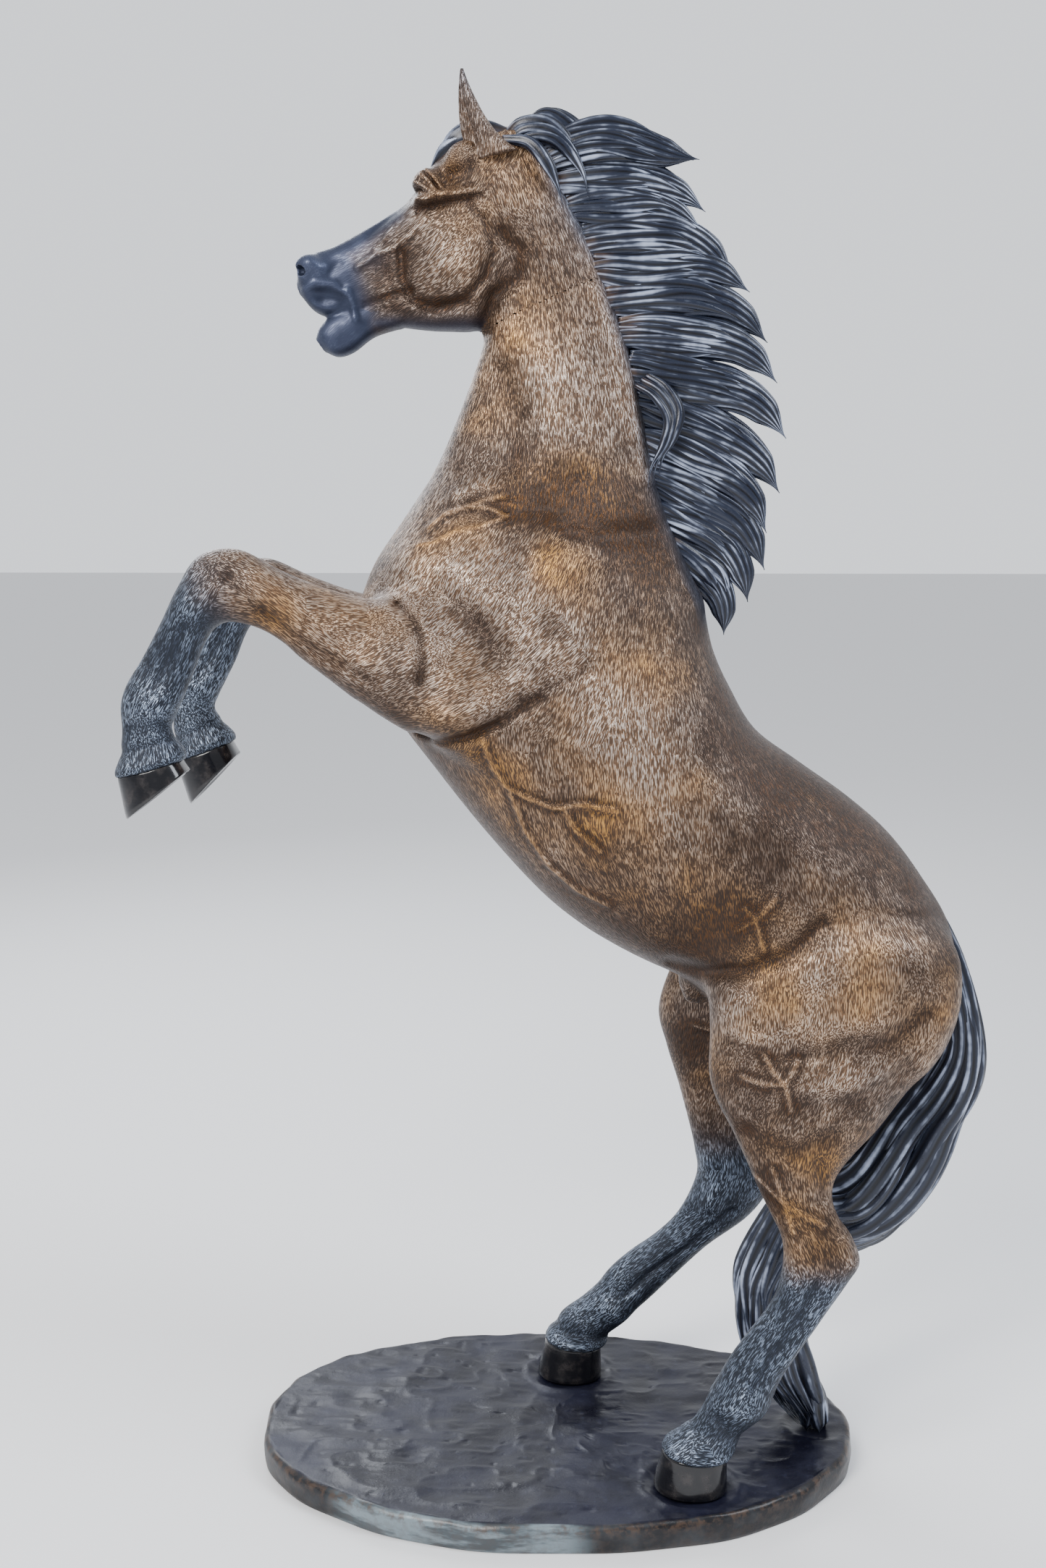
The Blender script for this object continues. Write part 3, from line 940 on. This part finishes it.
def base_mesh():
    """Oval slab of modelled earth, hollow below with two ribs crossing at the middle."""
    theta = np.linspace(0, 2 * pi, 560, endpoint=False)
    wear = 1.6 * np.sin(11 * theta) + 1.4 * np.sin(23 * theta + 1) + 1.0 * np.sin(41 * theta + 2)
    rings, tones = [], []

    def ring(x, y, z, worn, rim):
        """Adds a ring of points with its wear; the front of the rim has a pale patch."""
        pale = rim * ease(-400, -330, x) * (1 - ease(10, 90, x)) * (y < -100)
        rings.append(np.stack([x, y, z + 0 * x], 1))
        tones.append(np.stack([worn + 0 * x, rim + 0 * x, pale], 1))

    for reach in np.linspace(0.02, 1, 84) ** 0.8:
        x, y = base_outline(theta, 12)
        x, y = x * reach, y * reach
        fade = 1 - ease(0.93, 1.0, reach)
        ring(x, y, BASE_HIGH + ground_height(x, y) * (0.35 + 0.65 * fade) - 1.2, 0, 0)
    for inset, high, worn in BASE_EDGE:
        x, y = base_outline(theta, inset)
        rough = 1.6 * lattice_noise(theta * 130, high * 6 + 0 * theta, 14, 8) * (high > -48)
        lift = BASE_HIGH + high + wear * (0.8 if -15 < high < -2 else 0)
        ring(x + rough * np.cos(theta), y + rough * np.sin(theta), lift, worn, 1)
    for inset, high in ((16, 0), (18, 38), (60, 40)):
        ring(*base_outline(theta, inset), high, 0, 1)
    x, y = base_outline(theta, 12)
    ring(x * 0.02, y * 0.02, 40, 0, 1)
    parts = [(*ring_mesh(rings), np.vstack(tones))]
    box = np.array([(0, 3, 2, 1), (4, 5, 6, 7), (0, 1, 5, 4), (1, 2, 6, 5), (2, 3, 7, 6), (3, 0, 4, 7)])
    for long_x, long_y in ((BASE_LONG - 16, 5), (5, BASE_WIDE - 16)):
        corners = [(sx * long_x, sy * long_y, z) for z in (0, 41)
                   for sx, sy in ((-1, -1), (1, -1), (1, 1), (-1, 1))]
        parts.append((np.array(corners), box, np.tile((0, 1, 0), (8, 1))))
    return join(parts)


# ---- materials ----------------------------------------------------------------------------------
class Shader:
    """Short way to wire a node material."""

    def __init__(self, name):
        self.material = bpy.data.materials.new(name)
        self.material.use_nodes = True
        self.tree = self.material.node_tree
        self.tree.nodes.clear()
        self.bsdf = self.node("ShaderNodeBsdfPrincipled")
        out = self.node("ShaderNodeOutputMaterial")
        self.tree.links.new(self.bsdf.outputs[0], out.inputs["Surface"])

    def feed(self, socket, value):
        """Links a socket to another one, or sets its value."""
        if isinstance(value, bpy.types.NodeSocket):
            self.tree.links.new(value, socket)
        else:
            socket.default_value = value

    def node(self, kind, inputs=(), **settings):
        made = self.tree.nodes.new(kind)
        for key, value in settings.items():
            setattr(made, key, value)
        for key, value in dict(inputs).items():
            self.feed(made.inputs[key], value)
        return made

    def set(self, **inputs):
        """Feeds the surface shader."""
        for key, value in inputs.items():
            self.feed(self.bsdf.inputs[key.replace("_", " ")], value)

    def attribute(self, name):
        return self.node("ShaderNodeAttribute", attribute_name=name)

    def channels(self, colour):
        return self.node("ShaderNodeSeparateColor", {"Color": colour}).outputs

    def noise(self, vector, scale, detail=2.0, rough=0.5):
        inputs = {"Vector": vector, "Scale": scale, "Detail": detail, "Roughness": rough}
        return self.node("ShaderNodeTexNoise", inputs).outputs["Fac"]

    def place(self, scale=None):
        """Place on the object in metres, or that place stretched."""
        place = self.node("ShaderNodeTexCoord").outputs["Object"]
        if scale is None:
            return place
        return self.node("ShaderNodeMapping", {"Vector": place, "Scale": scale}).outputs[0]

    def ramp(self, value, low, high, to_low=0.0, to_high=1.0):
        inputs = {"Value": value, "From Min": low, "From Max": high, "To Min": to_low, "To Max": to_high}
        return self.node("ShaderNodeMapRange", inputs, interpolation_type="SMOOTHSTEP").outputs[0]

    def math(self, operation, a, b):
        return self.node("ShaderNodeMath", {0: a, 1: b}, operation=operation).outputs[0]

    def plus(self, a, b):
        return self.math("ADD", a, b)

    def times(self, a, b):
        return self.math("MULTIPLY", a, b)

    def swing(self, value, middle, amount):
        """How far a value is from its middle, times an amount."""
        return self.times(self.math("SUBTRACT", value, middle), amount)

    def mix(self, share, a, b):
        made = self.node("ShaderNodeMix", data_type="RGBA")
        for number, value in ((0, share), (6, a), (7, b)):
            self.feed(made.inputs[number], (*value, 1) if isinstance(value, tuple) else value)
        return made.outputs[2]

    def bump(self, height, strength, distance):
        inputs = {"Height": height, "Strength": strength, "Distance": distance}
        return self.node("ShaderNodeBump", inputs).outputs[0]


# Colours of the coat, each from dim to bright: between the strokes, on pale strokes, on golden strokes, on
# the silver strokes of the black parts, and on smooth black.
UNDER = (0.024, 0.010, 0.004), (0.200, 0.100, 0.045)
PALE = (0.075, 0.036, 0.018), (0.65, 0.56, 0.49)
RICH = (0.100, 0.042, 0.011), (0.58, 0.31, 0.09)
SILVER = (0.050, 0.062, 0.092), (0.36, 0.44, 0.58)
SMOOTH_BLACK = (0.014, 0.019, 0.040), (0.046, 0.056, 0.100)
CHASED_BLACK, PIT, OCHRE = (0.012, 0.016, 0.026), (0.013, 0.008, 0.006), (0.110, 0.050, 0.016)


def coat_material(name):
    """Chased coat: short light strokes over a brown patina, black with silver strokes below the joints."""
    s = Shader(name)
    flow, tone = s.attribute("flow").outputs["Vector"], s.attribute("tone")
    light, gold, black = s.channels(tone.outputs["Color"])
    chased = tone.outputs["Alpha"]
    strokes = s.noise(flow, 1.0, 1.0, 0.45)
    tufts = s.noise(flow, 0.30, 1.0, 0.5)
    dapple = s.noise(s.place(), 30.0, 3.0, 0.6)
    cloud = s.noise(s.place(), 8.0, 2.0, 0.5)
    drive = s.plus(s.plus(s.swing(light, 0.5, 0.05), s.swing(dapple, 0.5, 0.07)), s.swing(tufts, 0.5, 0.05))
    drive = s.plus(strokes, drive)
    depth = s.times(chased, 0.82)
    crest = s.plus(s.times(s.ramp(drive, 0.535, 0.605), depth), s.times(s.math("SUBTRACT", 1.0, depth), 0.42))
    pit = s.times(s.ramp(drive, 0.520, 0.450), chased)
    level = s.plus(s.times(light, 0.85), s.swing(s.plus(dapple, cloud), 0.81, 0.42))
    under = s.mix(s.ramp(level, 0.35, 0.80), *UNDER)
    under = s.mix(s.times(gold, 0.40), under, OCHRE)
    pale = s.mix(s.ramp(level, 0.22, 0.90), *PALE)
    rich = s.mix(s.ramp(level, 0.22, 0.90), *RICH)
    pale = s.mix(s.ramp(s.plus(gold, s.swing(cloud, 0.5, 1.2)), 0.25, 0.85), pale, rich)
    colour = s.mix(crest, under, pale)
    colour = s.mix(s.times(pit, 0.66), colour, PIT)
    silver = s.mix(s.ramp(level, 0.3, 0.75), *SILVER)
    smooth = s.mix(s.ramp(level, 0.2, 0.8), *SMOOTH_BLACK)
    night = s.mix(s.ramp(chased, 0.1, 0.8), smooth, CHASED_BLACK)
    night = s.mix(s.times(s.ramp(drive, 0.50, 0.66), s.times(chased, 0.85)), night, silver)
    colour = s.mix(black, colour, night)
    s.set(Base_Color=colour, Roughness=s.ramp(strokes, 0.35, 0.65, 0.50, 0.36), Specular_IOR_Level=0.45,
          Metallic=s.ramp(crest, 0, 1, 0.45, 0.75), Normal=s.bump(strokes, s.times(chased, 0.85), 0.0022))
    return s.material


def hair_material():
    """Black hair with rubbed ridges and fine lines along each strand."""
    s = Shader("hair_patina")
    ridge, along, _ = s.channels(s.attribute("strand").outputs["Color"])
    mottle = s.noise(s.place(), 16.0, 3.0, 0.6)
    rub = s.ramp(s.plus(ridge, s.swing(mottle, 0.5, 0.6)), 0.90, 1.13)
    colour = s.mix(s.ramp(ridge, 0.25, 0.9), (0.003, 0.003, 0.006), (0.017, 0.022, 0.040))
    colour = s.mix(s.times(rub, 0.80), colour, (0.48, 0.55, 0.73))
    warm = s.times(s.ramp(along, 0.22, 0.0), s.ramp(mottle, 0.45, 0.65))
    colour = s.mix(s.times(warm, 0.45), colour, (0.16, 0.085, 0.04))
    fine = s.noise(s.place(), 240.0, 2.0, 0.6)
    s.set(Base_Color=colour, Roughness=s.ramp(mottle, 0.3, 0.7, 0.26, 0.42), Metallic=0.25,
          Normal=s.bump(fine, 0.25, 0.0008))
    return s.material


def hoof_material():
    """Polished black horn with faint growth rings."""
    s = Shader("hoof_polish")
    mottle = s.noise(s.place(), 40.0, 3.0, 0.6)
    rings = s.noise(s.place((3.0, 3.0, 260.0)), 1.0, 1.0)
    colour = s.mix(s.ramp(mottle, 0.45, 0.75), (0.006, 0.006, 0.008), (0.030, 0.026, 0.026))
    s.set(Base_Color=colour, Roughness=s.ramp(mottle, 0.35, 0.7, 0.14, 0.30), Coat_Weight=0.4,
          Normal=s.bump(rings, 0.16, 0.0008), Coat_Roughness=0.08, Specular_IOR_Level=0.3)
    return s.material


def ground_material():
    """Dark modelled earth, satin, with brown worn edges and a pale patch on its rim."""
    s = Shader("ground_patina")
    worn, rim, pale = s.channels(s.attribute("worn").outputs["Color"])
    cloud, grit = s.noise(s.place(), 9.0, 4.0, 0.6), s.noise(s.place(), 70.0, 3.0, 0.65)
    colour = s.mix(s.ramp(cloud, 0.35, 0.7), (0.004, 0.004, 0.010), (0.012, 0.013, 0.028))
    colour = s.mix(s.times(s.ramp(grit, 0.58, 0.75), 0.22), colour, (0.050, 0.058, 0.10))
    side = s.mix(s.ramp(cloud, 0.45, 0.72), (0.008, 0.008, 0.010), (0.036, 0.039, 0.044))
    colour = s.mix(rim, colour, side)
    streak = s.ramp(s.noise(s.place((0.5, 0.5, 2.2)), 22.0, 4.0, 0.6), 0.40, 0.60, 0.25, 0.9)
    colour = s.mix(s.times(pale, streak), colour, (0.20, 0.25, 0.28))
    brown = s.times(worn, s.ramp(grit, 0.42, 0.62))
    colour = s.mix(s.times(brown, 0.6), colour, (0.085, 0.052, 0.034))
    s.set(Base_Color=colour, Roughness=s.ramp(cloud, 0.3, 0.7, 0.26, 0.44), Metallic=0.1,
          Normal=s.bump(grit, 0.35, 0.0018), Specular_IOR_Level=0.36)
    return s.material


def steel_material(name, colour, rough, metallic, grain):
    """Steel with drawn grain and smudges."""
    s = Shader(name)
    lines = s.noise(s.place(grain), 1.0, 2.0)
    smudge = s.noise(s.place(), 22.0, 3.0, 0.6)
    shade = s.mix(s.ramp(smudge, 0.35, 0.7), tuple(0.75 * c for c in colour), colour)
    shade = s.mix(s.times(lines, 0.3), shade, tuple(1.25 * c for c in colour))
    s.set(Base_Color=shade, Roughness=s.ramp(smudge, 0.3, 0.7, rough, rough + 0.14), Metallic=metallic,
          Normal=s.bump(lines, 0.2, 0.0004))
    return s.material


# ---- build --------------------------------------------------------------------------------------
def settle(piece, material, slot, *nodes):
    """Gives a piece its material, body, nodes and slot."""
    piece.data.materials.append(material)
    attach(piece, "root")
    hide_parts(*nodes)


coat, stocking = coat_material("coat_patina"), coat_material("stocking_patina")
hair, horn, earth = hair_material(), hoof_material(), ground_material()


def below_head(names, owner, station):
    """Faces of every casting but the head."""
    return names != "head_casting"


def head_and_lap(names, owner, station):
    """Faces of the head and of the lap that its patches of coat run on over."""
    return (names == "head_casting") | ((owner == 0) & (station < HEAD_SEAM + SEAM_LAP))


bodies = carve_pieces(sculpt(*BODY_BOX, BODY_STEP), below_head)
head = carve_pieces(sculpt(*HEAD_BOX, HEAD_STEP), head_and_lap)["head_casting"]
for name, (verts, quads, normals, tones, flow) in {**bodies, "head_casting": head}.items():
    label = name.replace("_casting", "") + "_bronze"
    piece = make_object(label, verts, quads, normals, {"tone": tones}, {"flow": flow})
    low_leg = "cannon" in name
    settle(piece, stocking if low_leg else coat, "stocking" if low_leg else "coat", name)

for side, name in ((-1, "left_ear"), (1, "right_ear")):
    verts, quads = ear_mesh(side)
    tones = np.tile((0.55, 0.35, 0.12, 0.9), (len(verts), 1))
    tones[:, 2] += 0.5 * ease(2340, 2400, verts[:, 2])
    flow = hair_flow(verts, quads, np.tile((0.0, 0.0, 1.0), (len(quads), 1)), SEED + side)
    normals = normals_of(verts, quads)
    piece = make_object(name + "_bronze", verts, quads, normals, {"tone": tones}, {"flow": flow})
    settle(piece, coat, "coat", name)

rng = np.random.default_rng(SEED)
for name, locks in MANE.items():
    parts = mane_locks(locks, rng) + side_locks(SIDE_LOCKS.get(name, ()), rng)
    settle(hair_object(name + "_locks", parts), hair, "hair", name)

parts = []
for *points, radius in FORELOCK:
    for shift in (-20, -7, 7, 20):
        root, bend, tip = (np.array((x, shift * share, z)) for (x, z), share in zip(points, (1, 1.2, 0.5)))
        line = [arch(root, bend, tip, t) for t in np.linspace(0, 1, 6)]
        parts.append(strand(curve_through(line, 36), radius, rng, flat=0.9))
settle(hair_object("forelock_locks", parts), hair, "hair", "forelock")

parts, tail_line = tail_locks(rng)
verts, quads, _, ridge = join(parts)
nearest = np.array([((tail_line - c) ** 2).sum(1).argmin() for c in verts[quads].mean(1)])
upper = nearest < TAIL_SEAM * TAIL_DETAIL
for name, mine in (("upper_tail", upper), ("lower_tail", ~upper)):
    used, back = np.unique(quads[mine], return_inverse=True)
    tones = np.stack([ridge[used], np.full(len(used), 0.5), np.zeros(len(used))], 1)
    normals = normals_of(verts, quads)[used]
    piece = make_object(name + "_locks", verts[used], back.reshape(-1, 4), normals, {"strand": tones})
    settle(piece, hair, "hair", name)

for name, rows in HOOVES.items():
    verts, quads = hoof_mesh(rows)
    settle(make_object(name + "_horn", verts, quads), horn, "hoof", name)

verts, quads, tones = base_mesh()
settle(make_object("base_earth", verts, quads, points={"worn": tones}), earth, "ground", "base_casting")

frame_paint = steel_material("frame_paint", (0.035, 0.038, 0.042), 0.42, 0.0, (4.0, 4.0, 4.0))
stainless = steel_material("stainless", (0.55, 0.56, 0.58), 0.24, 1.0, (400.0, 400.0, 12.0))
for name in ("base_frame", "left_leg_bar", "right_leg_bar", "tail_stud", "stud_washers", "stud_nuts"):
    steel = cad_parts[name].data
    steel.materials.clear()
    steel.materials.append(frame_paint if name == "base_frame" else stainless)


# ---- stage, light and camera --------------------------------------------------------------------
FLOOR_TINT, FLOOR_ROUGH = (0.88, 0.88, 0.89, 1), 0.9
SKY_TINT = (0.92, 0.95, 1.0, 1)
SENSOR, LENS = 36.0, 38.74112       # mm, over the full height of the picture
CAMERA_PLACE, CAMERA_DOWN, CAMERA_TURN = (0.042, -2.885, 1.710), 9.3, 2

bpy.ops.mesh.primitive_plane_add(size=60, location=(0, 12, 0))
floor = bpy.context.object
floor.name = "floor"
pale = bpy.data.materials.new("pale_floor")
pale.use_nodes = True
pale.node_tree.nodes["Principled BSDF"].inputs["Base Color"].default_value = FLOOR_TINT
pale.node_tree.nodes["Principled BSDF"].inputs["Roughness"].default_value = FLOOR_ROUGH
floor.data.materials.append(pale)

world = bpy.data.worlds.new("studio")
bpy.context.scene.world = world
world.use_nodes = True
# A bright wall behind the statue and a dimmer room in front of it.
sky = world.node_tree
sky.nodes["Background"].inputs["Color"].default_value = SKY_TINT
toward = sky.nodes.new("ShaderNodeTexCoord").outputs["Generated"]
apart = sky.nodes.new("ShaderNodeSeparateXYZ")
glow = sky.nodes.new("ShaderNodeMapRange")
sky.links.new(toward, apart.inputs[0])
sky.links.new(apart.outputs["Y"], glow.inputs["Value"])
for socket, value in zip(("From Min", "From Max", "To Min", "To Max"), (-0.7, 0.7, 0.5, 1.3)):
    glow.inputs[socket].default_value = value
sky.links.new(glow.outputs[0], sky.nodes["Background"].inputs["Strength"])


def softbox(name, place, aim, size, power, tint):
    """Soft rectangular lamp turned toward a point."""
    lamp = bpy.data.lights.new(name, "AREA")
    lamp.shape, lamp.size, lamp.size_y = "RECTANGLE", *size
    lamp.energy, lamp.color = power, tint
    holder = bpy.data.objects.new(name, lamp)
    bpy.context.scene.collection.objects.link(holder)
    holder.location = place
    holder.rotation_euler = (Vector(aim) - Vector(place)).to_track_quat("-Z", "Y").to_euler()


softbox("key", (-2.6, -4.2, 4.6), (0, 0, 1.2), (2.4, 2.4), 400, (1.0, 0.98, 0.95))
softbox("rim", (3.4, -1.2, 4.2), (0.2, 0, 1.2), (1.6, 2.6), 170, (0.88, 0.93, 1.0))
softbox("back", (-2.0, 3.4, 3.6), (0, 0, 1.4), (2.4, 2.4), 120, (0.90, 0.94, 1.0))

camera = bpy.data.cameras.new("camera")
camera.sensor_fit = "VERTICAL"
camera.sensor_height = SENSOR
camera.lens = LENS
camera.clip_end = 100
view = bpy.data.objects.new("camera", camera)
view.location = CAMERA_PLACE
view.rotation_euler = (radians(90 - CAMERA_DOWN), 0, radians(CAMERA_TURN))
bpy.context.scene.collection.objects.link(view)
bpy.context.scene.camera = view
